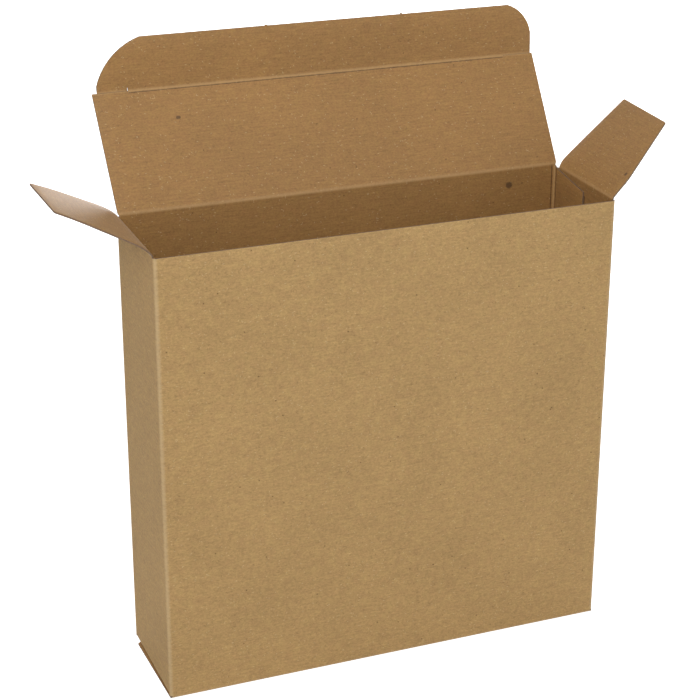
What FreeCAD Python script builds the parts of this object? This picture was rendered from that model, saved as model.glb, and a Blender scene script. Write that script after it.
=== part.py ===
"""Reverse-tuck folding carton in plain brown card, standing open.

The origin is the middle of the base, +Z is up and the wide front panel faces -Y.
Lengths are in millimetres and angles in degrees.
"""
import FreeCAD, Part
import math
import os
import Sketcher

# Driving dimensions
SIZES = {
    # the card and its folds
    "card": 0.5,
    "corner_radius": 1.0,
    "fold_gap": 0.6,
    "edge_round_share": 0.48,
    "stack_gap": 0.1,
    # the tube of four walls
    "carton_width": 153.5,
    "carton_depth": 41.0,
    "carton_height": 152.0,
    "front_edge_drop": 1.1,
    "base_fold_rise": 1.3,
    # the glue flap inside the right wall
    "glue_width": 20.7,
    "glue_taper": 2.6,
    "glue_end_gap": 0.3,
    "lap_width": 1.0,
    # the lids at both ends
    "lid_side_gap": 0.4,
    "top_lid_lean_angle": 34.0,
    "base_corner_cut": 4.0,
    # the tuck flaps on the ends of the lids
    "tuck_gap": 0.25,
    "tuck_side_gap": 0.5,
    "tuck_length": 17.0,
    "top_tuck_bend_angle": 31.0,
    "base_tuck_lean_angle": 8.0,
    "long_arc_radius": 22.0,
    "long_arc_start": 1.5,
    "long_arc_inset": 15.0,
    "short_arc_radius": 12.7,
    "short_arc_start": 7.0,
    "short_arc_inset": 8.5,
    # the dust flaps on the narrow side walls
    "dust_hinge_side_length": 31.4,
    "dust_tuck_side_length": 30.5,
    "dust_hinge_side_gap": 0.9,
    "dust_notch_width": 1.8,
    "dust_notch_height": 2.2,
    "dust_hinge_side_taper": 1.6,
    "dust_tuck_side_gap": 1.5,
    "base_dust_tuck_side_gap": 2.4,
    "dust_shoulder_height": 7.6,
    "dust_tuck_side_taper": 7.4,
    "right_dust_lean_angle": 48.0,
    "left_dust_lean_angle": 62.5,
}


class Measure:
    """A length or an angle that remembers the formula it came from."""

    def __init__(self, value, formula):
        self.value = value
        self.formula = formula

    def joined(self, sign, other, value):
        return Measure(value, f"({self.formula} {sign} {other.formula})")

    def __add__(self, other):
        other = as_measure(other)
        return self.joined("+", other, self.value + other.value)

    def __sub__(self, other):
        other = as_measure(other)
        return self.joined("-", other, self.value - other.value)

    def __mul__(self, other):
        other = as_measure(other)
        return self.joined("*", other, self.value * other.value)

    def __truediv__(self, other):
        other = as_measure(other)
        return self.joined("/", other, self.value / other.value)

    def __neg__(self):
        return Measure(-self.value, f"(-{self.formula})")


def as_measure(number):
    return number if isinstance(number, Measure) else Measure(number, str(number))


def size(name):
    return Measure(SIZES[name], f"sizes.{name}")


def sine(angle):
    return Measure(math.sin(math.radians(angle.value)), f"sin({angle.formula} * 1 deg)")


def cosine(angle):
    return Measure(math.cos(math.radians(angle.value)), f"cos({angle.formula} * 1 deg)")


# Places that several pieces share
ZERO = as_measure(0)
CARD = size("card")
HALF_CARD = CARD / 2
HALF_GAP = size("fold_gap") / 2
OUTER_X = size("carton_width") / 2
OUTER_Y = size("carton_depth") / 2
INNER_X = OUTER_X - CARD
INNER_Y = OUTER_Y - CARD
CORNER_X = OUTER_X - size("corner_radius")
CORNER_Y = OUTER_Y - size("corner_radius")
LAP_X = INNER_X - size("corner_radius")
TOP_FOLD_Z = size("carton_height") - HALF_CARD
DUST_FOLD_Z = TOP_FOLD_Z - CARD - size("stack_gap")
SIDE_TOP_Z = DUST_FOLD_Z - HALF_GAP
REAR_TOP_Z = TOP_FOLD_Z - HALF_GAP
FRONT_TOP_Z = TOP_FOLD_Z - size("front_edge_drop")
BASE_FOLD_Z = HALF_CARD
FRONT_BOTTOM_Z = BASE_FOLD_Z + HALF_GAP
SIDE_BOTTOM_Z = size("base_fold_rise")
WALL_FOLD_X = OUTER_X - HALF_CARD
WALL_FOLD_Y = OUTER_Y - HALF_CARD
LID_HALF_WIDTH = OUTER_X - size("lid_side_gap")
TUCK_HALF_WIDTH = INNER_X - size("tuck_side_gap")
# From the lid's own fold to the tuck flap's fold, so that the tuck flap slides inside the far wall
LID_LENGTH = size("carton_depth") - CARD * 2 - size("tuck_gap")


def make_sheet(document):
    """The spreadsheet that drives every size."""
    sheet = document.addObject("Spreadsheet::Sheet", "sizes")
    for row, (name, value) in enumerate(SIZES.items(), start=1):
        sheet.set(f"A{row}", name)
        sheet.set(f"B{row}", str(value))
        sheet.setAlias(f"B{row}", name)
    document.recompute()


def make_body(document, name):
    body = document.addObject("PartDesign::Body", name)
    body.Label = name
    return body


def make_sketch(body, name, plane, height=ZERO):
    """An empty sketch on one of the body's own origin planes, moved along its normal by a height."""
    sketch = body.newObject("Sketcher::SketchObject", name)
    support = [part for part in body.Origin.OriginFeatures if part.Role == plane]
    sketch.AttachmentSupport = [(support[0], "")]
    sketch.MapMode = "FlatFace"
    sketch.setExpression("AttachmentOffset.Base.z", height.formula)
    return sketch


def arc_between(start, end, radius):
    """Arc from start to end that bulges to the right of the way from one to the other."""
    chord = end - start
    to_left = FreeCAD.Vector(-chord.y, chord.x, 0).normalize()
    centre = (start + end) / 2 + to_left * math.sqrt(radius ** 2 - (chord.Length / 2) ** 2)
    circle = Part.Circle(centre, FreeCAD.Vector(0, 0, 1), radius)
    return Part.ArcOfCircle(circle, circle.parameter(start), circle.parameter(end))


def bind(sketch, kind, places, measure):
    """One dimension of a sketch, bound to its formula."""
    index = sketch.addConstraint(Sketcher.Constraint(kind, *places, measure.value))
    sketch.setExpression(f"Constraints[{index}]", measure.formula)


def draw_outline(sketch, corners):
    """Closed anticlockwise outline with every corner pinned. A radius after a corner's two
    coordinates makes the side that leaves it an arc."""
    first = sketch.GeometryCount
    points = [FreeCAD.Vector(corner[0].value, corner[1].value, 0) for corner in corners]
    for corner, start, end in zip(corners, points, points[1:] + points[:1]):
        if len(corner) == 3:
            sketch.addGeometry(arc_between(start, end, corner[2].value))
        else:
            sketch.addGeometry(Part.LineSegment(start, end))
    for number, corner in enumerate(corners):
        side = first + number
        following = first + (number + 1) % len(corners)
        sketch.addConstraint(Sketcher.Constraint("Coincident", side, 2, following, 1))
        bind(sketch, "DistanceX", (-1, 1, side, 1), corner[0])
        bind(sketch, "DistanceY", (-1, 1, side, 1), corner[1])
        if len(corner) == 3:
            bind(sketch, "Radius", (side,), corner[2])


def add_pad(body, name, sketch, length, symmetric=False):
    pad = body.newObject("PartDesign::Pad", name)
    pad.Profile = sketch
    pad.setExpression("Length", length.formula)
    if symmetric:
        pad.SideType = "Symmetric"
    return pad


def rectangle(low_x, low_y, high_x, high_y):
    return [(low_x, low_y), (high_x, low_y), (high_x, high_y), (low_x, high_y)]


def place(body, position, axis, angle):
    """Stands a piece at its fold, turned from upright by an angle about one axis."""
    body.Placement = FreeCAD.Placement(FreeCAD.Vector(), FreeCAD.Rotation(axis, angle.value))
    for letter, measure in zip("xyz", position):
        body.setExpression(f"Placement.Base.{letter}", measure.formula)
    body.setExpression("Placement.Rotation.Angle", angle.formula)


def tube_outline():
    """Outside of the four walls. The right wall stops short of the rear fold that it is glued over."""
    radius = size("corner_radius")
    return [
        (-CORNER_X, -OUTER_Y), (CORNER_X, -OUTER_Y, radius),
        (OUTER_X, -CORNER_Y), (OUTER_X, CORNER_Y), (INNER_X, CORNER_Y, radius),
        (LAP_X, OUTER_Y), (-CORNER_X, OUTER_Y, radius),
        (-OUTER_X, CORNER_Y), (-OUTER_X, -CORNER_Y, radius),
    ]


def tube_hollow():
    """Inside of the four walls, with the fold of the glue flap against the end of the right wall."""
    radius = size("corner_radius") - CARD
    lap_y = CORNER_Y - size("lap_width")
    return [
        (-CORNER_X, -INNER_Y), (CORNER_X, -INNER_Y, radius),
        (INNER_X, -CORNER_Y), (INNER_X, lap_y),
        (LAP_X + radius, lap_y), (LAP_X + radius, CORNER_Y, radius),
        (LAP_X, INNER_Y), (-CORNER_X, INNER_Y, radius),
        (-INNER_X, CORNER_Y), (-INNER_X, -CORNER_Y, radius),
    ]


def dust_outline(tuck_side_gap, start):
    """Dust flap seen flat, with its fold at height 0, the lid's fold to the left of it and the
    tuck flap to the right. Measured from the middle of the side wall, with the card cut at start."""
    hinge_side = OUTER_Y - size("dust_hinge_side_gap")
    tuck_side = OUTER_Y - tuck_side_gap
    return [
        (-hinge_side + size("dust_notch_width"), start),
        (tuck_side, start),
        (tuck_side, size("dust_shoulder_height")),
        (tuck_side - size("dust_tuck_side_taper"), size("dust_tuck_side_length")),
        (-hinge_side + size("dust_hinge_side_taper"), size("dust_hinge_side_length")),
        (-hinge_side, size("dust_notch_height")),
    ]


def mirrored(corners):
    """The same outline with left and right exchanged. It holds straight sides only."""
    return [(-across, along) for across, along in reversed(corners)]


def tuck_outline(half_base):
    """Tuck flap seen flat with its fold at height 0 and half its width there given."""
    tip = size("tuck_length")
    return [
        (-half_base, HALF_GAP), (half_base, HALF_GAP),
        (half_base, size("short_arc_start"), size("short_arc_radius")),
        (TUCK_HALF_WIDTH - size("short_arc_inset"), tip),
        (-TUCK_HALF_WIDTH + size("long_arc_inset"), tip, size("long_arc_radius")),
        (-half_base, size("long_arc_start")),
    ]


def lid_outline():
    """Top lid seen flat with its own fold at height 0 and the tuck flap's fold at its far end."""
    return rectangle(-LID_HALF_WIDTH, HALF_GAP, LID_HALF_WIDTH, LID_LENGTH - HALF_GAP)


def base_lid_outline():
    """Base lid, like the top one, but with its far corners cut off."""
    cut = size("base_corner_cut")
    far_end = LID_LENGTH - HALF_GAP
    return [
        (-LID_HALF_WIDTH, HALF_GAP), (LID_HALF_WIDTH, HALF_GAP),
        (LID_HALF_WIDTH, far_end - cut), (LID_HALF_WIDTH - cut, far_end),
        (-LID_HALF_WIDTH + cut, far_end), (-LID_HALF_WIDTH, far_end - cut),
    ]


def add_walls(body):
    """Four walls, with the rear one reaching up to the lid's fold and the front one down to the base."""
    ring = make_sketch(body, "wall_ring", "XY_Plane", SIDE_BOTTOM_Z)
    draw_outline(ring, tube_outline())
    draw_outline(ring, tube_hollow())
    add_pad(body, "walls", ring, SIDE_TOP_Z - SIDE_BOTTOM_Z)

    rear = make_sketch(body, "rear_wall_top", "XY_Plane", SIDE_TOP_Z)
    draw_outline(rear, rectangle(-CORNER_X, INNER_Y, LAP_X, OUTER_Y))
    add_pad(body, "rear_wall_rise", rear, REAR_TOP_Z - SIDE_TOP_Z)

    front = make_sketch(body, "front_wall_bottom", "XY_Plane", FRONT_BOTTOM_Z)
    draw_outline(front, rectangle(-CORNER_X, -OUTER_Y, CORNER_X, -INNER_Y))
    add_pad(body, "front_wall_drop", front, SIDE_BOTTOM_Z - FRONT_BOTTOM_Z)

    front_edge = make_sketch(body, "front_wall_top", "XY_Plane", SIDE_TOP_Z)
    draw_outline(front_edge, rectangle(-OUTER_X, -OUTER_Y, OUTER_X, -CORNER_Y))
    pocket = body.newObject("PartDesign::Pocket", "front_wall_edge")
    pocket.Profile = front_edge
    pocket.setExpression("Length", (SIDE_TOP_Z - FRONT_TOP_Z).formula)


def add_glue_flap(body):
    """Flap from the rear wall, folded in and glued to the inside of the right wall."""
    free_y = OUTER_Y - size("glue_width")
    top = DUST_FOLD_Z - HALF_CARD - size("glue_end_gap")
    bottom = SIDE_BOTTOM_Z + CARD + size("glue_end_gap")
    taper = size("glue_taper")
    sketch = make_sketch(body, "glue_flap_outline", "YZ_Plane", INNER_X - CARD)
    draw_outline(sketch, [
        (free_y, bottom + taper), (INNER_Y, bottom), (INNER_Y, top), (free_y, top - taper),
    ])
    add_pad(body, "glue_flap", sketch, CARD)


def add_base_dust_flaps(body):
    """The two dust flaps at the base, folded flat under the inside of the tube."""
    flap = dust_outline(size("base_dust_tuck_side_gap"), ZERO)
    sketch = make_sketch(body, "base_dust_outlines", "XY_Plane", SIDE_BOTTOM_Z)
    draw_outline(sketch, [(WALL_FOLD_X - along, across) for across, along in flap])
    draw_outline(sketch, [(along - WALL_FOLD_X, across) for across, along in flap])
    add_pad(body, "base_dust_flaps", sketch, CARD)


def make_carton_body(document):
    body = make_body(document, "carton_body")
    add_walls(body)
    add_glue_flap(body)
    add_base_dust_flaps(body)
    return body


def ease_ends(document, body, pad, heights):
    """Rounds the long edges of a flap that lie along its folds."""
    document.recompute()
    names = []
    for number, edge in enumerate(pad.Shape.Edges, start=1):
        low = edge.BoundBox.ZMin
        high = edge.BoundBox.ZMax
        along_fold = high - low < 0.001 and any(abs(low - height.value) < 0.001 for height in heights)
        if along_fold and edge.Length > 2 * CARD.value:
            names.append(f"Edge{number}")
    fillet = body.newObject("PartDesign::Fillet", f"{body.Name}_eased_ends")
    fillet.Base = (pad, names)
    fillet.setExpression("Radius", (CARD * size("edge_round_share")).formula)


def make_flap(document, name, plane, corners, fold_ends):
    """A flat flap of card, upright on its fold, with half its thickness on each side of it."""
    body = make_body(document, name)
    sketch = make_sketch(body, f"{name}_outline", plane)
    draw_outline(sketch, corners)
    pad = add_pad(body, f"{name}_sheet", sketch, CARD, symmetric=True)
    ease_ends(document, body, pad, fold_ends)
    return body


def make_top_flaps(document):
    """The lid, which leans back, and its tuck flap, bent forward from it."""
    along_x = FreeCAD.Vector(1, 0, 0)
    lean = size("top_lid_lean_angle")
    lid_ends = [HALF_GAP, LID_LENGTH - HALF_GAP]
    lid = make_flap(document, "top_lid", "XZ_Plane", lid_outline(), lid_ends)
    place(lid, (ZERO, WALL_FOLD_Y, TOP_FOLD_Z), along_x, -lean)

    outline = tuck_outline(TUCK_HALF_WIDTH)
    tuck = make_flap(document, "top_tuck_flap", "XZ_Plane", outline, [HALF_GAP])
    tuck_y = WALL_FOLD_Y + LID_LENGTH * sine(lean)
    tuck_z = TOP_FOLD_Z + LID_LENGTH * cosine(lean)
    place(tuck, (ZERO, tuck_y, tuck_z), along_x, size("top_tuck_bend_angle") - lean)
    return [lid, tuck]


def make_base_flaps(document):
    """The closed base lid, with its tuck flap standing up just inside the rear wall."""
    along_x = FreeCAD.Vector(1, 0, 0)
    lid_ends = [HALF_GAP, LID_LENGTH - HALF_GAP]
    lid = make_flap(document, "base_lid", "XZ_Plane", base_lid_outline(), lid_ends)
    place(lid, (ZERO, -WALL_FOLD_Y, BASE_FOLD_Z), along_x, as_measure(-90))

    outline = tuck_outline(LID_HALF_WIDTH - size("base_corner_cut"))
    tuck = make_flap(document, "base_tuck_flap", "XZ_Plane", outline, [HALF_GAP])
    fold = (ZERO, LID_LENGTH - WALL_FOLD_Y, BASE_FOLD_Z)
    place(tuck, fold, along_x, size("base_tuck_lean_angle"))
    return [lid, tuck]


def make_dust_flaps(document):
    """The two dust flaps at the top, which lean out from the side walls."""
    along_y = FreeCAD.Vector(0, 1, 0)
    outline = mirrored(dust_outline(size("dust_tuck_side_gap"), HALF_GAP))
    flaps = []
    for side, sign in (("left", -1), ("right", 1)):
        flap = make_flap(document, f"{side}_dust_flap", "YZ_Plane", outline, [HALF_GAP])
        lean = size(f"{side}_dust_lean_angle") * sign
        place(flap, (WALL_FOLD_X * sign, ZERO, DUST_FOLD_Z), along_y, lean)
        flaps.append(flap)
    return flaps


def check_document(document, pieces):
    """Stops if any feature failed or any piece isn't one valid solid."""
    for item in document.Objects:
        if "Invalid" in item.State or "Error" in item.State:
            raise RuntimeError(f"{item.Name} failed: {item.State}")
    for piece in pieces:
        shape = piece.Shape
        if shape.isNull() or not shape.isValid() or len(shape.Solids) != 1:
            raise RuntimeError(f"{piece.Label} isn't one valid solid")


def export_pieces(pieces):
    os.makedirs("parts", exist_ok=True)
    for piece in pieces:
        piece.Shape.exportStep(f"parts/{piece.Label}.step")


document = FreeCAD.newDocument("folding_carton")
make_sheet(document)
pieces = [make_carton_body(document)]
pieces += make_top_flaps(document)
pieces += make_base_flaps(document)
pieces += make_dust_flaps(document)
document.recompute()
check_document(document, pieces)
export_pieces(pieces)
for piece in pieces:
    box = piece.Shape.BoundBox
    print(piece.Label, round(piece.Shape.Volume, 1),
          [round(value, 2) for value in (box.XMin, box.XMax, box.YMin, box.YMax, box.ZMin, box.ZMax)])
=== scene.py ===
import math

import bmesh
import bpy
from mathutils import Matrix, Vector


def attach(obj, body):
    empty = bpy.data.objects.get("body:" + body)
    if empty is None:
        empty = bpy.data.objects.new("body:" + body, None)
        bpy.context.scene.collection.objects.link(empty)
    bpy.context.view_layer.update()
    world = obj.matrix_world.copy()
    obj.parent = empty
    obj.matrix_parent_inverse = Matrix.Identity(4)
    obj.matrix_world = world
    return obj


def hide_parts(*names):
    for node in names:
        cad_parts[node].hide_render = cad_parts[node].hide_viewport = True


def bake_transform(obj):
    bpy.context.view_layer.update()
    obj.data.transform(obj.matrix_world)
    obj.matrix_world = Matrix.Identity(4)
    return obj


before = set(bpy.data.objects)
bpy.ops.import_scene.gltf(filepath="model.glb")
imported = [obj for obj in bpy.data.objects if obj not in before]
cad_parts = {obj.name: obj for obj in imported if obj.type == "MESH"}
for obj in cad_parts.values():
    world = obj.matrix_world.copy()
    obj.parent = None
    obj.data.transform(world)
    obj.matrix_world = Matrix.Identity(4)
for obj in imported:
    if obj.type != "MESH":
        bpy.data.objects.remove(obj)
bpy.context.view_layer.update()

# The four walls and the glue flap. They are one strip of brown kraft board half a millimetre thick,
# die-cut flat, scored, folded round four upright creases and glued behind the right wall, where the
# rear wall's flap is stuck to its inner face. The grain of the board runs round the carton.
MM = 0.001
CARD = 0.5
HALF_WIDTH = 75.75
HALF_DEPTH = 19.5
WALL_MIDDLE_Y = 20.25
WALL_MIDDLE_X = 76.5
CORNER_REACH = 0.75
CREASE_REACH = 0.5
CREASE_ROOM = 0.6
HAIR = 0.01
BASE_LID_LEVEL = 0.25
BASE_DUST_LEVEL = 1.55
TOP_DUST_LEVEL = 151.15
TOP_LID_LEVEL = 151.75
FRONT_BOTTOM = BASE_LID_LEVEL + CREASE_ROOM
FRONT_TOP = 150.8
SIDE_BOTTOM = BASE_DUST_LEVEL + CREASE_ROOM
SIDE_TOP = TOP_DUST_LEVEL - CREASE_ROOM
REAR_BOTTOM = 1.3
REAR_TOP = TOP_LID_LEVEL - CREASE_ROOM
REAR_WIDTH = 151.0
GLUE_LENGTH = 19.7
GLUE_BOTTOM = 2.1
GLUE_TOP = 150.6
GLUE_TAPER = 2.9
PANEL_SPACING = 7
RIDGE_HALF_WIDTH = 1.25
RIDGE_TOP = 0.9


def lay_board(name, left, right, bottom, top):
    """Lays a flat piece of board on the bench, outer face up, in edit mode; x runs along the grain."""
    bpy.ops.object.select_all(action="DESELECT")
    bpy.ops.mesh.primitive_plane_add(size=1)
    board = bpy.context.active_object
    board.name = board.data.name = name
    board.scale = ((right - left) * MM, (top - bottom) * MM, 1)
    board.location = ((right + left) / 2 * MM, (top + bottom) / 2 * MM, 0)
    bpy.ops.object.transform_apply(location=True, rotation=False, scale=True)
    bpy.ops.object.mode_set(mode="EDIT")
    return board


def pick_faces(board, where):
    """Selects the faces whose middle passes where, in millimetres on the bench."""
    bpy.ops.mesh.select_all(action="DESELECT")
    shape = bmesh.from_edit_mesh(board.data)
    for face in shape.faces:
        if where(face.calc_center_median() / MM):
            face.select_set(True)
    bmesh.update_edit_mesh(board.data)


def cut(board, x, y, normal, clear=False, where=None):
    """Cuts the flat board along a line through x, y; clear takes away the side that normal points to."""
    if where is None:
        bpy.ops.mesh.select_all(action="SELECT")
    else:
        pick_faces(board, where)
    square = Vector((*normal, 0)).normalized()
    bpy.ops.mesh.bisect(plane_co=(x * MM, y * MM, 0), plane_no=square, clear_outer=clear, threshold=1e-7)


def trim(board, corners):
    """Trims the board to an outline that bulges everywhere, given corner by corner, anticlockwise."""
    for start, end in zip(corners, corners[1:] + corners[:1]):
        along = Vector(end) - Vector(start)
        if along.length > 0.001:
            cut(board, *start, (along.y, -along.x), clear=True)


def score(board, columns=(), rows=()):
    """Divides the board along upright columns and level rows, so that it can bend there."""
    for x in columns:
        cut(board, x, 0, (1, 0))
    for y in rows:
        cut(board, 0, y, (0, 1))


def evenly(start, end, spacing):
    """Places between start and end, about spacing apart."""
    count = max(1, round(abs(end - start) / spacing))
    return [start + (end - start) * step / count for step in range(1, count)]


def crease_lines(turn, reach, steps=8):
    """Where a crease bends, measured back from its far side; it starts and ends reach from the fold."""
    half = math.radians(turn) / 2
    gap = 2 * reach * math.cos(half) * math.sin(half / steps) / math.sin((steps - 1) * half / steps)
    return [-gap * step for step in range(steps - 1, -1, -1)]


def bend(board, lines, turns, across=1, side=1):
    """Turns what lies beyond each line, the farthest line first, so that each is still flat as it turns."""
    past = 0.0005
    shape = bmesh.from_edit_mesh(board.data)
    flat = [point.co[across] * side / MM for point in shape.verts]
    bpy.ops.mesh.select_mode(type="VERT")
    for line, turn in sorted(zip(lines, turns), reverse=True):
        bpy.ops.mesh.select_all(action="DESELECT")
        shape = bmesh.from_edit_mesh(board.data)
        for point, place in zip(shape.verts, flat):
            if place > line + past:
                point.select_set(True)
        bmesh.update_edit_mesh(board.data)
        centre = (0, line * MM, 0) if across else (line * side * MM, 0, 0)
        bpy.ops.transform.rotate(
            value=math.radians(-turn) * side,
            orient_axis="X" if across else "Y",
            center_override=centre,
        )


def map_blank(board, across=0, up=0, turned=False):
    """Gives every point its place on the flat blank, in millimetres, so that the grain crosses the folds."""
    bpy.ops.object.mode_set(mode="OBJECT")
    mesh = board.data
    layer = mesh.uv_layers[0]
    layer.name = "Blank"
    sign = -1 if turned else 1
    for loop in mesh.loops:
        place = mesh.vertices[loop.vertex_index].co / MM
        layer.data[loop.index].uv = (across + sign * place.x, up + sign * place.y)
    bpy.ops.object.mode_set(mode="EDIT")


def mark_folds(board, columns=(), rows=()):
    """Marks the ridge of each fold, given as its middle and half width, where the board is rubbed pale."""
    bpy.ops.object.mode_set(mode="OBJECT")
    mesh = board.data
    ridge = mesh.attributes.new("fold", "FLOAT", "POINT")
    for point in mesh.vertices:
        x, y = point.co.x / MM, point.co.y / MM
        near = [1 - abs(x - middle) / width for middle, width in columns]
        near += [1 - abs(y - middle) / width for middle, width in rows]
        ridge.data[point.index].value = max([0] + near)
    bpy.ops.object.mode_set(mode="EDIT")


def slacken(board, held_columns, held_rows, height, seed):
    """Lets the panels wave a little between the folds and edges that hold them."""
    held_reach = 16
    wave_size = 0.045
    bpy.ops.object.mode_set(mode="OBJECT")
    free = board.vertex_groups.new(name="free")
    for point in board.data.vertices:
        x, y = point.co.x / MM, point.co.y / MM
        away = [abs(x - column) for column in held_columns] + [abs(y - row) for row in held_rows]
        free.add([point.index], min(1, min(away) / held_reach) ** 2, "REPLACE")
    waves = bpy.data.textures.new(board.name + "_waves", "CLOUDS")
    waves.noise_scale = wave_size
    waves.noise_depth = 1
    lift = board.modifiers.new("waves", "DISPLACE")
    lift.texture = waves
    lift.texture_coords = "LOCAL"
    lift.vertex_group = "free"
    lift.strength = height * MM
    lift.mid_level = 0.5
    board.data.transform(Matrix.Translation((0, 0, seed)))
    bpy.ops.object.modifier_apply(modifier="waves")
    board.data.transform(Matrix.Translation((0, 0, -seed)))
    board.vertex_groups.clear()
    bpy.ops.object.mode_set(mode="EDIT")


def stand(board, place, across, up):
    """Stands the board up: its x goes along across and its y along up, from place."""
    bpy.ops.object.mode_set(mode="OBJECT")
    x, y = Vector(across), Vector(up)
    turn = Matrix((x, y, x.cross(y))).transposed().to_4x4()
    board.matrix_world = Matrix.Translation(Vector(place) * MM) @ turn
    bpy.ops.object.transform_apply(location=True, rotation=True, scale=True)


def thicken(board, materials, seam=None):
    """Gives the board its thickness and its three finishes: outer face, inner face and cut edge."""
    for material in materials:
        board.data.materials.append(material)
    card = board.modifiers.new("card", "SOLIDIFY")
    card.thickness = CARD * MM
    card.offset = 0
    card.use_even_offset = True
    card.use_quality_normals = True
    card.material_offset = 1
    card.material_offset_rim = 2
    bpy.ops.object.modifier_apply(modifier="card")
    bpy.ops.object.mode_set(mode="EDIT")
    bpy.ops.mesh.select_all(action="DESELECT")
    shape = bmesh.from_edit_mesh(board.data)
    for edge in shape.edges:
        kinds = {face.material_index for face in edge.link_faces}
        middle = (edge.verts[0].co + edge.verts[1].co) / 2 / MM
        if len(kinds) == 2 and 2 in kinds and not (seam and seam(middle)):
            edge.select_set(True)
    bmesh.update_edit_mesh(board.data)
    bpy.ops.mesh.bevel(offset=0.05 * MM, segments=2, affect="EDGES", material=2, clamp_overlap=True)
    bpy.ops.object.mode_set(mode="OBJECT")
    bpy.ops.object.shade_smooth_by_angle(angle=math.radians(35))


class Mixer:
    """Puts a finish's nodes together, one texture after another."""

    def __init__(self, name):
        self.material = bpy.data.materials.new(name)
        self.material.use_nodes = True
        self.nodes = self.material.node_tree.nodes
        self.links = self.material.node_tree.links
        self.shader = self.nodes["Principled BSDF"]

    def node(self, kind, settings=None, **inputs):
        made = self.nodes.new("ShaderNode" + kind)
        for key, value in (settings or {}).items():
            setattr(made, key, value)
        for key, value in inputs.items():
            socket = made.inputs[int(key[1:]) if key[0] == "_" else key.replace("_", " ")]
            if isinstance(value, bpy.types.NodeSocket):
                self.links.new(value, socket)
            else:
                socket.default_value = value
        return made

    def maths(self, operation, first, second=0.0, third=0.0, clamp=False):
        settings = {"operation": operation, "use_clamp": clamp}
        return self.node("Math", settings, _0=first, _1=second, _2=third).outputs[0]

    def place(self, where, size=(1, 1, 1), shift=(0, 0, 0), turn=0.0):
        inputs = {"Location": shift, "Rotation": (0, 0, math.radians(turn)), "Scale": size}
        return self.node("Mapping", Vector=where, **inputs).outputs[0]

    def noise(self, where, scale, detail=2.0, roughness=0.5, size=(1, 1, 1), shift=(0, 0, 0)):
        spot = self.place(where, size, shift)
        made = self.node("TexNoise", Vector=spot, Scale=scale, Detail=detail, Roughness=roughness)
        return made.outputs["Fac"]

    def flecks(self, where, size, turn, shift, share, radius, softness):
        """Scattered flecks of one size and slant: 1 in a fleck, 0 between them."""
        spot = self.place(self.place(where, turn=turn, shift=shift), size)
        cells = self.node("TexVoronoi", {"voronoi_dimensions": "2D"}, Vector=spot, Scale=1.0)
        chance = self.node("SeparateColor", Color=cells.outputs["Color"]).outputs[0]
        chosen = self.maths("GREATER_THAN", share, chance)
        core = radius * (1 - softness)
        inside = self.node("MapRange", Value=cells.outputs["Distance"], _1=radius, _2=core, _3=0.0, _4=1.0)
        return self.maths("MULTIPLY", inside.outputs[0], chosen)

    def blend(self, share, first, second):
        made = self.node("Mix", {"data_type": "RGBA", "clamp_factor": True}, _0=share, _6=first, _7=second)
        return made.outputs[2]


def paint(red, green, blue):
    """A colour as seen on the sheet, from 0 to 255, made ready for a shader."""
    levels = [value / 255 for value in (red, green, blue)]
    return (*[(v / 12.92 if v <= 0.04045 else ((v + 0.055) / 1.055) ** 2.4) for v in levels], 1)


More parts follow.
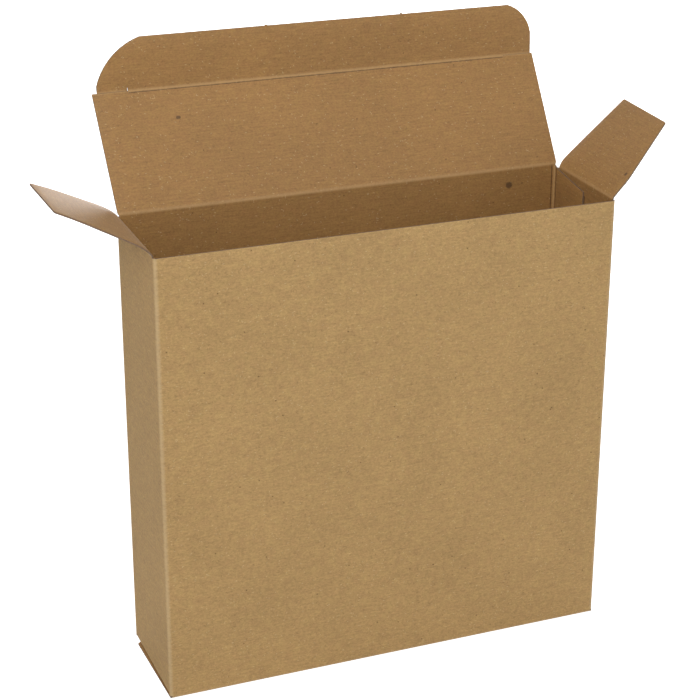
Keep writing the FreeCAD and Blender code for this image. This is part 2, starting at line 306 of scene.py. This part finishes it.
def kraft(
    name, colour, rubbed, streaks, mottle, grain, seed, dark_share, pale_share, gloss, bead, haze, flecks_and_painted_shade=()
):
    """One face of kraft board: cloudy pulp, level grain, fine fibres, bark flecks, dark flecks and painted
    shade lines, and rubbed folds.
    """
    mix = Mixer(name)
    blank = mix.node("UVMap", {"uv_map": "Blank"}).outputs[0]
    clouds = mix.noise(blank, 0.035, 3, 0.55, shift=(seed, seed, 0))
    formation = mix.noise(blank, 0.33, 3, 0.6, shift=(-seed, 2 * seed, 0))
    pulp = mix.noise(blank, 1.6, 4, 0.8, size=(0.8, 1.15, 1), shift=(seed, 0, seed))
    drawn = mix.noise(blank, 1.0, 3, 0.6, size=(0.16, 1.6, 1), shift=(0, seed, 2 * seed))
    level = mix.maths("MULTIPLY_ADD", mix.maths("SUBTRACT", clouds, 0.5), 2.0 * mottle, 1.0)
    level = mix.maths("MULTIPLY_ADD", mix.maths("SUBTRACT", formation, 0.5), 1.3 * mottle, level)
    level = mix.maths("MULTIPLY_ADD", mix.maths("SUBTRACT", pulp, 0.5), grain, level)
    level = mix.maths("MULTIPLY_ADD", mix.maths("SUBTRACT", drawn, 0.5), streaks, level)
    hue = mix.maths("MULTIPLY_ADD", mix.maths("SUBTRACT", formation, 0.5), 0.018, 0.5)
    tint = mix.node("HueSaturation", Hue=hue, Saturation=1.0, Value=level, Fac=1.0, Color=colour).outputs[0]
    pale = dark = None
    for turn, length in ((12, 0.55), (64, 0.7), (115, 0.6), (163, 0.5)):
        fibres = mix.flecks(blank, (length, 2.0, 1), turn, (seed + turn, turn, 0), pale_share, 0.25, 0.6)
        hairs = mix.flecks(blank, (length * 0.8, 1.6, 1), turn + 25, (turn, seed, 0), dark_share, 0.3, 0.7)
        pale = fibres if pale is None else mix.maths("MAXIMUM", pale, fibres)
        dark = hairs if dark is None else mix.maths("MAXIMUM", dark, hairs)
    bark = mix.flecks(blank, (0.42, 0.5, 1), 33, (seed, 5, 0), 0.012, 0.16, 0.7)
    tint = mix.blend(mix.maths("MULTIPLY", dark, 0.3), tint, paint(92, 66, 38))
    tint = mix.blend(mix.maths("MULTIPLY", pale, 0.42), tint, paint(226, 206, 160))
    tint = mix.blend(mix.maths("MULTIPLY", bark, 0.7), tint, paint(78, 52, 28))
    # Dark spots and lines, all in one dark brown: the board's own knots and flecks, and painted shade and
    # painted shadow along the slits and creases.
    for x, y, half_width, half_height, radius in flecks_and_painted_shade:
        spot = blank
        for operation, value in (
            ("SUBTRACT", (x, y, 0)),
            ("ABSOLUTE", (0, 0, 0)),
            ("SUBTRACT", (half_width, half_height, 0)),
            ("MAXIMUM", (0, 0, 0)),
        ):
            spot = mix.node("VectorMath", {"operation": operation}, _0=spot, _1=value).outputs[0]
        away = mix.node("VectorMath", {"operation": "LENGTH"}, _0=spot).outputs["Value"]
        away = mix.maths("MULTIPLY_ADD", mix.maths("SUBTRACT", formation, 0.5), 1.6 * radius, away)
        fleck_or_painted_shade = mix.node("MapRange", Value=away, _1=radius * 1.2, _2=radius * 0.7, _3=0.0, _4=0.7)
        tint = mix.blend(fleck_or_painted_shade.outputs[0], tint, paint(58, 38, 24))
    ridge = mix.node("Attribute", {"attribute_name": "fold"}).outputs["Fac"]
    scuffs = mix.noise(blank, 1.1, 3, 0.7, shift=(3 * seed, 0, 0))
    worn = mix.node("MapRange", Value=mix.maths("ADD", ridge, scuffs), _1=0.75, _2=1.45, _3=0.0, _4=0.62)
    on_fold = mix.maths("GREATER_THAN", ridge, 0.001)
    tint = mix.blend(mix.maths("MULTIPLY", worn.outputs[0], on_fold), tint, rubbed)
    mix.links.new(tint, mix.shader.inputs["Base Color"])
    rough = mix.node("MapRange", Value=pulp, _1=0.2, _2=0.8, _3=0.58, _4=0.72)
    mix.links.new(rough.outputs[0], mix.shader.inputs["Roughness"])
    relief = mix.maths("MULTIPLY_ADD", drawn, 0.5, pulp)
    relief = mix.maths("MULTIPLY_ADD", pale, 0.6, relief)
    relief = mix.maths("MULTIPLY_ADD", mix.maths("SMOOTH_MIN", ridge, 0.5, 0.3), bead, relief)
    bump = mix.node("Bump", Strength=0.55, Distance=0.00006, Height=relief)
    mix.links.new(bump.outputs[0], mix.shader.inputs["Normal"])
    mix.shader.inputs["Specular IOR Level"].default_value = gloss
    mix.shader.inputs["Sheen Weight"].default_value = haze
    mix.shader.inputs["Sheen Roughness"].default_value = 0.3
    return mix.material


def cut_edge():
    """The raw cut edge of the board, darker, greyer and rougher than its faces, with its pressed plies."""
    mix = Mixer("cut_edge")
    spot = mix.node("TexCoord").outputs["Object"]
    plies = mix.noise(spot, 2600, 3, 0.6)
    lint = mix.noise(spot, 700, 2, 0.6)
    tint = mix.blend(plies, paint(88, 68, 56), paint(138, 112, 90))
    tint = mix.blend(mix.maths("MULTIPLY", lint, 0.3), tint, paint(168, 146, 120))
    mix.links.new(tint, mix.shader.inputs["Base Color"])
    mix.shader.inputs["Roughness"].default_value = 0.85
    mix.shader.inputs["Specular IOR Level"].default_value = 0.2
    bump = mix.node("Bump", Strength=0.6, Distance=0.00005, Height=plies)
    mix.links.new(bump.outputs[0], mix.shader.inputs["Normal"])
    return mix.material


# The dark marks on the board's inner face, on the flat blank in millimetres: middle across, middle up, half
# width, half height, and how far each one's round edge reaches beyond that. The knot and the two flecks are
# the board's own; the lines at the tuck crease, the slits and the glue flap are painted shade and painted
# shadow.
REAR_WALL_KNOT = (-251.6, 146.1, 0, 0, 1.15)
DUST_FLAP_FLECK = (81.0, 159.6, 0, 0, 0.5)
LID_FLECK = (-141.8, 180.6, 0.3, 0, 0.45)
# Painted shade: a dark line just below the tuck crease's raised bead, where the bead shades the lid.
TUCK_CREASE_SHADE = (-192.8, 190.35, 65.3, 0, 0.18)
# Painted shadow: dark lines along both slits, where the lid's edge stands proud and shades the tuck flap.
RIGHT_SLIT_SHADOW = (-264.3, 191.0, 5.7, 0, 0.17)
LEFT_SLIT_SHADOW = (-121.3, 191.0, 5.7, 0, 0.17)
# Painted shade: two dark lines on both flanks of the bead at the rear wall's crease beside the glue flap.
GLUE_CREASE_SHADE = [(-267.4, 75, 0, 76, 0.2), (-269.8, 75, 0, 76, 0.2)]
GLUE_FLAP_SHADOW = (95.9, 75, 0, 71, 0.3)
inner_flecks_and_painted_shade = [REAR_WALL_KNOT, DUST_FLAP_FLECK, LID_FLECK, TUCK_CREASE_SHADE, RIGHT_SLIT_SHADOW, LEFT_SLIT_SHADOW]
inner_flecks_and_painted_shade += GLUE_CREASE_SHADE + [GLUE_FLAP_SHADOW]
outer_face = kraft(
    "kraft_outer_face", paint(180, 147, 98), rubbed=paint(204, 178, 138), streaks=0.36, mottle=0.13,
    grain=1.15, seed=11, dark_share=0.03, pale_share=0.016, gloss=0.22, bead=0.8, haze=0.0,
)
inner_face = kraft(
    "kraft_inner_face", paint(159, 119, 68), rubbed=paint(190, 153, 104), streaks=0.55, mottle=0.13,
    grain=1.15, seed=47, dark_share=0.035, pale_share=0.016, gloss=0.5, bead=2.2, haze=0.15,
    flecks_and_painted_shade=inner_flecks_and_painted_shade,
)
raw_edge = cut_edge()
board_finish = (outer_face, inner_face, raw_edge)

corner = crease_lines(90, CORNER_REACH)
corner_length = -corner[0]
right_start = HALF_WIDTH + corner_length
right_end = right_start + 2 * HALF_DEPTH
left_start = right_start
left_end = right_end
rear_start = left_end + corner_length
rear_end = rear_start + REAR_WIDTH
glue_start = rear_end + corner_length
glue_end = glue_start + GLUE_LENGTH

walls = lay_board("carton_walls", -glue_end, right_end, FRONT_BOTTOM, REAR_TOP)
right_lines = [right_start + line for line in corner]
left_folds = (left_start, rear_start, glue_start)
left_lines = [fold + line for fold in left_folds for line in corner]
score(walls, columns=right_lines + [-line for line in left_lines])
for low, high, bottom, top in (
    (-glue_end, -glue_start, GLUE_BOTTOM, GLUE_TOP),
    (-glue_start, -left_end, REAR_BOTTOM, REAR_TOP),
    (-left_end, -left_start, SIDE_BOTTOM, SIDE_TOP),
    (-left_start, right_start, FRONT_BOTTOM, FRONT_TOP),
    (right_start, right_end, SIDE_BOTTOM, SIDE_TOP),
):
    panel = lambda middle, low=low, high=high: low < middle.x < high
    cut(walls, 0, bottom, (0, 1), where=panel)
    cut(walls, 0, top, (0, 1), where=panel)
    pick_faces(walls, lambda middle: low < middle.x < high and not bottom < middle.y < top)
    bpy.ops.mesh.delete(type="FACE")
glue_panel = lambda middle: middle.x < -glue_start
cut(walls, -glue_start, GLUE_TOP, (-GLUE_TAPER, GLUE_LENGTH), clear=True, where=glue_panel)
cut(walls, -glue_start, GLUE_BOTTOM, (-GLUE_TAPER, -GLUE_LENGTH), clear=True, where=glue_panel)
panel_columns = []
for low, high in (
    (-HALF_WIDTH, HALF_WIDTH),
    (right_start, right_end),
    (-left_end, -left_start),
    (-rear_end, -rear_start),
    (-glue_end, -glue_start),
):
    panel_columns += evenly(low, high, PANEL_SPACING)
upright_folds = [right_start, -left_start, -rear_start, -glue_start]
upright_folds = [fold - math.copysign(corner_length / 2, fold) for fold in upright_folds]
ridge_columns = (-RIDGE_HALF_WIDTH, -RIDGE_TOP, RIDGE_TOP, RIDGE_HALF_WIDTH)
beside_folds = [fold + away for fold in upright_folds for away in ridge_columns]
score(walls, columns=panel_columns + beside_folds, rows=evenly(REAR_BOTTOM, REAR_TOP, 6))
map_blank(walls)
mark_folds(walls, columns=[(fold, RIDGE_HALF_WIDTH) for fold in upright_folds])
held = upright_folds + [right_end, -glue_end]
slacken(walls, held, [REAR_BOTTOM, REAR_TOP], height=0.5, seed=0.13)
bend(walls, right_lines, [90 / len(corner)] * len(right_lines), across=0, side=1)
bend(walls, left_lines, [90 / len(corner)] * len(left_lines), across=0, side=-1)
stand(walls, (0, -WALL_MIDDLE_Y, 0), (1, 0, 0), (0, 0, 1))


def wall_seam(middle):
    """Where the walls meet the flaps that fold off them: nothing is cut there."""
    front = middle.y < -20 and middle.z < FRONT_BOTTOM + HAIR
    rear = middle.y > 19.9 and middle.z > REAR_TOP - HAIR
    side_ends = middle.z > SIDE_TOP - HAIR or middle.z < SIDE_BOTTOM + HAIR
    side = abs(middle.x) > 76.2 and -19 < middle.y < 17.8 and side_ends
    return front or rear or side


thicken(walls, board_finish, wall_seam)
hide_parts("carton_body")
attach(walls, "carton_body")


# The two base dust flaps. They fold in off the bottoms of the side walls, one layer of the same board
# each, and lie on the closed base lid, which holds them.
RIDGE_ROWS = [0.25, 0.61]


def flap_board(name, corners, turn, spacing=6.0, reach=CREASE_REACH, extra_rows=()):
    """A flap, cut to its outline and scored at its crease; its y starts where the crease ends."""
    lines = crease_lines(turn, reach)
    foot = lines[0] - (CREASE_ROOM - reach)
    xs = [corner[0] for corner in corners]
    top = max(corner[1] for corner in corners)
    board = lay_board(name, min(xs), max(xs), foot, top)
    trim(board, [(x, foot if y < 0 else y) for x, y in corners])
    rows = lines + RIDGE_ROWS + list(extra_rows) + evenly(0, top, spacing)
    score(board, columns=evenly(min(xs), max(xs), spacing), rows=rows)
    return board, lines


def stand_flap(board, lines, fold, across, up, reach=CREASE_REACH):
    """Stands a folded flap on the fold line that its panel ends at."""
    shift = -reach - lines[0]
    place = Vector(fold) + Vector(up) * shift
    stand(board, place, across, up)


def soften(corners, steps=4):
    """Rounds the corners of an outline, except its foot's: the shoulders softly, the tips only just."""
    foot_end, tip_start = 0.1, 20
    tip_radius, shoulder_radius = 0.7, 2.2
    softened = []
    for before, corner, after in zip(corners[-1:] + corners[:-1], corners, corners[1:] + corners[:1]):
        if corner[1] < foot_end:
            softened.append(corner)
            continue
        radius = tip_radius if corner[1] > tip_start else shoulder_radius
        corner, legs = Vector(corner), []
        for other in (Vector(before), Vector(after)):
            leg = other - corner
            legs.append(leg.normalized() * min(radius, leg.length * 0.4))
        for step in range(steps + 1):
            share = step / steps
            softened.append(tuple(corner + legs[0] * (1 - share) ** 2 + legs[1] * share ** 2))
    return softened


BASE_DUST = [(-19.0, -1), (17.8, -1), (19.1, 1.6), (17.5, 30.9), (-11.1, 30.0), (-18.5, 7.0)]
for name, side in (("left_base_dust_flap", -1), ("right_base_dust_flap", 1)):
    outline = [(x * -side, y) for x, y in BASE_DUST]
    if side > 0:
        outline = outline[::-1]
    flap, lines = flap_board(name, soften(outline), 90)
    map_blank(flap, side * (right_start + HALF_DEPTH), BASE_DUST_LEVEL, turned=True)
    mark_folds(flap, rows=[(lines[0] / 2, 1.0)])
    bend(flap, lines, [-90 / len(lines)] * len(lines))
    stand_flap(flap, lines, (side * WALL_MIDDLE_X, 0, BASE_DUST_LEVEL), (0, -side, 0), (0, 0, -1))
    thicken(flap, board_finish, lambda middle: middle.z > SIDE_BOTTOM - HAIR)
    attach(flap, "carton_body")

# The base lid. It folds off the bottom of the front wall and closes the base, with its two far corners
# cut off so that it swings in past the side walls.
BASE_LID_FOLD = Vector((0, -WALL_MIDDLE_Y, BASE_LID_LEVEL))
BASE_LENGTH = 40.0
BASE_TUCK_FOLD = BASE_LID_FOLD + Vector((0, BASE_LENGTH, 0))
BASE_CORNER = 3.4
base_end = BASE_LENGTH - CREASE_REACH - CREASE_ROOM
base_lid, lines = flap_board(
    "closed_base_lid",
    [(-75.9, -1), (75.9, -1), (76.5, 0), (77.2, base_end - BASE_CORNER), (72.95, base_end),
     (-72.95, base_end), (-76.35, base_end - BASE_CORNER), (-76.9, 0)],
    90,
)
map_blank(base_lid, 0, BASE_LID_LEVEL, turned=True)
mark_folds(base_lid, rows=[(lines[0] / 2, 1.1), (base_end + 0.3, 0.8)])
bend(base_lid, lines, [-90 / len(lines)] * len(lines))
stand_flap(base_lid, lines, BASE_LID_FOLD, (-1, 0, 0), (0, 0, -1))
thicken(
    base_lid, board_finish,
    lambda middle: middle.z > FRONT_BOTTOM - HAIR or middle.y > BASE_TUCK_FOLD.y - CREASE_ROOM - HAIR,
)
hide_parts("base_lid")
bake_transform(base_lid)

# The base tuck flap. It folds up off the base lid's far edge and stands inside the rear wall. Its foot
# lies against that wall, whose friction keeps the base shut, and its top leans away a little.
BASE_TUCK_TURN = 92
BASE_TUCK_ROWS = [2.0, 4.0, 6.0]
BASE_TUCK_CURL = [-2.0, -2.0, -2.0]
TUCK_LENGTH = 17
LONG_ROUND = 22
SHORT_ROUND = 12.7


def arc(centre, radius, start, end, steps=9):
    """Points on an arc, its two ends among them, with angles in degrees."""
    angles = [math.radians(start + (end - start) * step / steps) for step in range(steps + 1)]
    return [(centre[0] + radius * math.cos(a), centre[1] + radius * math.sin(a)) for a in angles]


def corner_arc(start, end, radius):
    """The arc of that radius from start to end, bulging outwards, for an anticlockwise outline."""
    start, end = Vector(start), Vector(end)
    middle, chord = (start + end) / 2, end - start
    out = Vector((chord.y, -chord.x)).normalized()
    centre = middle - out * math.sqrt(radius * radius - (chord.length / 2) ** 2)
    first = math.degrees(math.atan2(*(start - centre).yx))
    last = math.degrees(math.atan2(*(end - centre).yx))
    if last < first:
        last += 360
    return arc(centre, radius, first, last)


def tuck_outline(half_base, half_width):
    """A tuck flap's outline: one corner has a long round, the other a short one."""
    start = -CREASE_REACH
    tip = TUCK_LENGTH + start
    low = [(-half_base, -1), (half_base, -1), (half_base, 0)]
    long_side = corner_arc((half_width, 1.5 + start), (half_width - 15, tip), LONG_ROUND)
    short_side = corner_arc((8.5 - half_width, tip), (-half_width, 7.0 + start), SHORT_ROUND)
    return low + long_side + short_side + [(-half_width, 0)]


base_tuck, lines = flap_board(
    "closed_base_tuck_flap", tuck_outline(72.3, 75.75), BASE_TUCK_TURN, extra_rows=BASE_TUCK_ROWS
)
map_blank(base_tuck, 0, BASE_LID_LEVEL - BASE_LENGTH, turned=True)
mark_folds(base_tuck, rows=[(lines[0] / 2, 1.1)])
bend(base_tuck, lines + BASE_TUCK_ROWS, [-BASE_TUCK_TURN / len(lines)] * len(lines) + BASE_TUCK_CURL)
stand_flap(base_tuck, lines, BASE_TUCK_FOLD, (-1, 0, 0), (0, 1, 0))
thicken(base_tuck, board_finish, lambda middle: middle.y < BASE_TUCK_FOLD.y - CREASE_ROOM + HAIR)
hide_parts("base_tuck_flap")
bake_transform(base_tuck)

# The two top dust flaps. They fold off the tops of the side walls, one layer of the same board each, and
# stand open. Handling has curled the left one down and out just above its crease, and the right one less.
TOP_DUST = [(-19.0, -1), (17.8, -1), (19.1, 1.7), (17.5, 30.9), (-11.1, 30.0), (-18.5, 7.0)]
CURLS = {
    "left_dust_flap": (
        [0.7, 1.4, 2.1, 2.9, 3.8, 5.0, 6.5, 8.5, 21.0, 25.0],
        [3.5, 3.5, 3.5, 3.5, 3.0, 3.0, 2.5, 1.5, 1.5, 2.0],
    ),
    "right_dust_flap": (
        [0.7, 1.6, 2.6, 3.8, 5.5, 8.0, 12.0, 18.0],
        [1.3, 1.2, 1.0, 0.8, 0.6, 0.3, 0.2, 0.1],
    ),
}
for name, node, side, turn in (
    ("left_top_dust_flap", "left_dust_flap", -1, 40.0),
    ("right_top_dust_flap", "right_dust_flap", 1, 42.5),
):
    outline = [(x * side, y) for x, y in TOP_DUST]
    if side < 0:
        outline = outline[::-1]
    curl_lines, curl = CURLS[node]
    flap, lines = flap_board(name, soften(outline), turn, 3.2, extra_rows=curl_lines)
    map_blank(flap, side * (right_start + HALF_DEPTH), TOP_DUST_LEVEL)
    mark_folds(flap, rows=[(lines[0] / 2, 0.9)])
    bend(flap, lines + curl_lines, [turn / len(lines)] * len(lines) + curl)
    fold = Vector((side * WALL_MIDDLE_X, 0, TOP_DUST_LEVEL))
    stand_flap(flap, lines, fold, (0, side, 0), (0, 0, 1))
    thicken(flap, board_finish, lambda middle: middle.z < SIDE_TOP + HAIR)
    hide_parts(node)
    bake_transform(flap)

# The top lid. It folds off the top of the rear wall, as wide as the carton, and leans back, open. At both
# ends of its far crease the die has slit it free of the tuck flap.
LID_FOLD = Vector((0, WALL_MIDDLE_Y, TOP_LID_LEVEL))
LID_LEAN = 34
LID_LENGTH = 39.75
SLIT_START = 65.8
SLIT_HEIGHT = CREASE_ROOM - 0.02
LID_SIDE = 80
lid_end = LID_LENGTH - CREASE_REACH - CREASE_ROOM


def ear(board, left, right, height):
    """Draws out the far edge of a scored board between two columns, as where the die has nicked it."""
    bpy.ops.mesh.select_mode(type="EDGE")
    bpy.ops.mesh.select_all(action="DESELECT")
    shape = bmesh.from_edit_mesh(board.data)
    for edge in shape.edges:
        start, end = edge.verts[0].co, edge.verts[1].co
        middle = (start + end) / 2 / MM
        level = abs(start.y - end.y) < abs(start.x - end.x)
        if edge.is_boundary and level and left < middle.x < right:
            if edge.link_faces[0].calc_center_median().y < start.y:
                edge.select_set(True)
    bmesh.update_edit_mesh(board.data)
    bpy.ops.mesh.extrude_region_move(TRANSFORM_OT_translate={"value": (0, height * MM, 0)})
    bpy.ops.mesh.select_mode(type="FACE")


top_lid, lines = flap_board(
    "open_top_lid",
    [(-75.9, -1), (75.9, -1), (76.4, 0), (77.3, lid_end), (-76.6, lid_end), (-76.35, 0)],
    LID_LEAN,
)
score(top_lid, columns=[-SLIT_START, SLIT_START], rows=[lid_end - 0.3])
ear(top_lid, -LID_SIDE, -SLIT_START, SLIT_HEIGHT)
ear(top_lid, SLIT_START, LID_SIDE, SLIT_HEIGHT)
map_blank(top_lid, -(rear_start + HALF_WIDTH), TOP_LID_LEVEL)
mark_folds(top_lid, rows=[(lines[0] / 2, 1.1), (lid_end + 0.6, 0.9)])
slacken(top_lid, [-76.35, 76.35], [0, lid_end], height=0.4, seed=0.31)
bend(top_lid, lines, [LID_LEAN / len(lines)] * len(lines))
stand_flap(top_lid, lines, LID_FOLD, (-1, 0, 0), (0, 0, 1))
lean = math.radians(LID_LEAN)
lid_up = Vector((0, math.sin(lean), math.cos(lean)))
TUCK_FOLD = LID_FOLD + lid_up * LID_LENGTH


def tuck_seam(middle):
    """How far beyond the lid's far edge a place is, or None where the slits part lid and tuck flap."""
    return (middle - TUCK_FOLD).dot(lid_up) + CREASE_ROOM if abs(middle.x) < SLIT_START - 0.1 else None


def top_lid_seam(middle):
    """Where the top lid meets the rear wall and its tuck flap: nothing is cut there."""
    beyond = tuck_seam(middle)
    return middle.z < REAR_TOP + HAIR or beyond is not None and beyond > -HAIR


thicken(top_lid, board_finish, top_lid_seam)
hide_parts("top_lid")
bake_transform(top_lid)

# The top tuck flap. It folds off the lid's far edge and goes down inside the front wall when the carton
# is shut. At both ends of its crease the board is slit through, so that its shoulders lock there, and the
# left slit ends in a small hook. The die has left two nicks on its far edge.
TUCK_BEND = -31
SLIT_SIDE = -0.5
HOOK_WIDTH = 0.2
HOOK_TOP = RIDGE_ROWS[1]
NICKS = [(18.4, 19.1), (-28.7, -28.1)]
NICK_HEIGHT = 0.3
top_tuck, lines = flap_board("open_top_tuck_flap", tuck_outline(75.7, 75.95), TUCK_BEND)
slit_ends = [-SLIT_START, SLIT_START - HOOK_WIDTH, SLIT_START]
score(top_tuck, columns=slit_ends + [x for nick in NICKS for x in nick], rows=[SLIT_SIDE])
pick_faces(
    top_tuck,
    lambda middle: abs(middle.x) > SLIT_START and middle.y < SLIT_SIDE
    or 0 < SLIT_START - middle.x < HOOK_WIDTH and SLIT_SIDE < middle.y < HOOK_TOP,
)
bpy.ops.mesh.delete(type="FACE")
for left, right in NICKS:
    ear(top_tuck, left, right, NICK_HEIGHT)
map_blank(top_tuck, -(rear_start + HALF_WIDTH), TOP_LID_LEVEL + LID_LENGTH)
mark_folds(top_tuck, rows=[(lines[0] / 2, 1.0)])
bend(top_tuck, lines, [TUCK_BEND / len(lines)] * len(lines))
stand_flap(top_tuck, lines, TUCK_FOLD, (-1, 0, 0), lid_up)


def top_tuck_seam(middle):
    """Where the top tuck flap meets the lid: nothing is cut there."""
    beyond = tuck_seam(middle)
    return beyond is not None and beyond < HAIR


thicken(top_tuck, board_finish, top_tuck_seam)
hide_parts("top_tuck_flap")
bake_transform(top_tuck)

# The studio: a pale floor that shows white, soft lamps in front on the left, above, at both sides and
# behind, and the camera where the photograph's was.
bpy.ops.object.select_all(action="DESELECT")
bpy.ops.mesh.primitive_plane_add(size=8, location=(0, 0, 0))
floor = bpy.context.active_object
floor.name = "studio_floor"
mix = Mixer("pale_floor")
mix.shader.inputs["Base Color"].default_value = (0.86, 0.86, 0.86, 1)
mix.shader.inputs["Roughness"].default_value = 0.9
floor_rays = mix.node("LightPath").outputs
glow_strength = mix.maths("MULTIPLY", floor_rays["Is Camera Ray"], 0.75)
glow = mix.node("Emission", Color=(1, 1, 1, 1), Strength=glow_strength)
both = mix.node("AddShader", _0=mix.shader.outputs[0], _1=glow.outputs[0])
mix.links.new(both.outputs[0], mix.nodes["Material Output"].inputs[0])
floor.data.materials.append(mix.material)

world = bpy.data.worlds.new("studio")
bpy.context.scene.world = world
world.use_nodes = True
sky = world.node_tree
for node in list(sky.nodes):
    sky.nodes.remove(node)
sky_rays = sky.nodes.new("ShaderNodeLightPath")
seen = sky.nodes.new("ShaderNodeMath")
seen.operation = "MAXIMUM"
sky.links.new(sky_rays.outputs["Is Camera Ray"], seen.inputs[0])
sky.links.new(sky_rays.outputs["Is Glossy Ray"], seen.inputs[1])
strength = sky.nodes.new("ShaderNodeMapRange")
sky.links.new(seen.outputs[0], strength.inputs["Value"])
strength.inputs["To Min"].default_value = 0.38
strength.inputs["To Max"].default_value = 1.0
light = sky.nodes.new("ShaderNodeBackground")
light.inputs["Color"].default_value = (1, 1, 1, 1)
sky.links.new(strength.outputs[0], light.inputs["Strength"])
out = sky.nodes.new("ShaderNodeOutputWorld")
sky.links.new(light.outputs[0], out.inputs[0])


def lamp(name, place, size, power, colour):
    """A soft square lamp at place, turned to the carton."""
    data = bpy.data.lights.new(name, "AREA")
    data.shape = "SQUARE"
    data.size = size
    data.energy = power
    data.color = colour
    made = bpy.data.objects.new(name, data)
    bpy.context.scene.collection.objects.link(made)
    made.location = place
    made.rotation_euler = (Vector((0, 0, 0.1)) - Vector(place)).to_track_quat("-Z", "Y").to_euler()


lamp("key_lamp", (-0.3, -0.62, 0.72), 0.45, 3.6, (1.0, 0.99, 0.97))
lamp("top_lamp", (0.0, 0.05, 1.5), 1.2, 0.6, (1.0, 0.98, 0.95))
lamp("left_lamp", (-1.0, -0.4, 0.6), 0.6, 1.1, (1.0, 0.95, 0.85))
lamp("right_lamp", (1.2, -0.8, 0.6), 0.8, 2.4, (1.0, 1.0, 1.0))
lamp("back_lamp", (0.75, 1.2, 0.3), 0.7, 14.0, (1.0, 1.0, 1.0))

camera_data = bpy.data.cameras.new("camera")
camera = bpy.data.objects.new("camera", camera_data)
bpy.context.scene.collection.objects.link(camera)
camera.location = (-0.21825, -0.5329, 0.34113)
aim = Vector((-0.006568, 0, 0.103623)) - camera.location
CAMERA_ROLL = 0.174
roll = Matrix.Rotation(math.radians(CAMERA_ROLL), 3, "Z")
camera.rotation_euler = (aim.to_track_quat("-Z", "Y").to_matrix() @ roll).to_euler()
camera_data.sensor_width = 36
camera_data.lens = 98.55
camera_data.clip_start = 0.01
bpy.context.scene.camera = camera
bpy.context.scene.view_settings.view_transform = "Standard"
